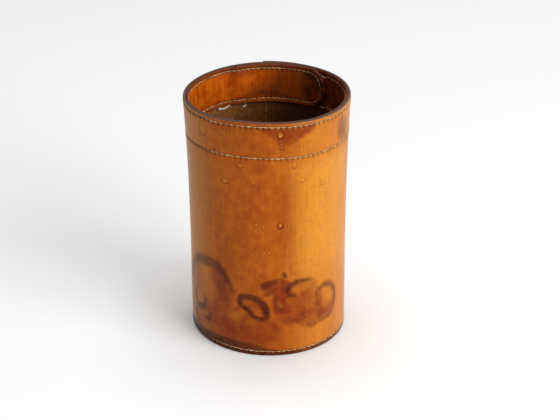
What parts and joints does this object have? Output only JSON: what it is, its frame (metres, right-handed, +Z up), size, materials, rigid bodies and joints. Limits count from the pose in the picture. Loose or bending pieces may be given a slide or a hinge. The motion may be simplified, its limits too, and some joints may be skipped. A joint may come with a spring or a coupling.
{
  "type": "leather dice cup",
  "caption": "Open-topped leather dice cup with a lapped and stitched wall, a facing band sewn inside the rim and a sewn-in dished leather bottom.",
  "frame": {"origin": "centre of the foot, on the surface the cup stands on", "axes": "+Z up, from the foot to the open rim; +Y towards the lapped and stitched seam at the back; +X to the right, seen from the front"},
  "size_m": [0.0992, 0.1005, 0.15],
  "materials": {
    "wall_leather": "vegetable-tanned, waxed, water-stained, burnished edges",
    "band_leather": "vegetable-tanned, smooth grain",
    "bottom_leather": "vegetable-tanned, matte",
    "thread": "waxed cord, natural"
  },
  "bodies": {
    "root": {"body_wall": "wall_leather", "rim_band": "band_leather", "base_disc": "bottom_leather", "rim_upper_thread_outer": "thread", "rim_upper_thread_inner": "thread", "rim_lower_thread_outer": "thread", "rim_lower_thread_inner": "thread", "tongue_thread_outer": "thread", "tongue_thread_inner": "thread", "base_thread_outer": "thread", "base_thread_inner": "thread", "seam_thread_outer": "thread", "seam_thread_inner": "thread", "thread_tails": "thread"}
  },
  "joints": []
}
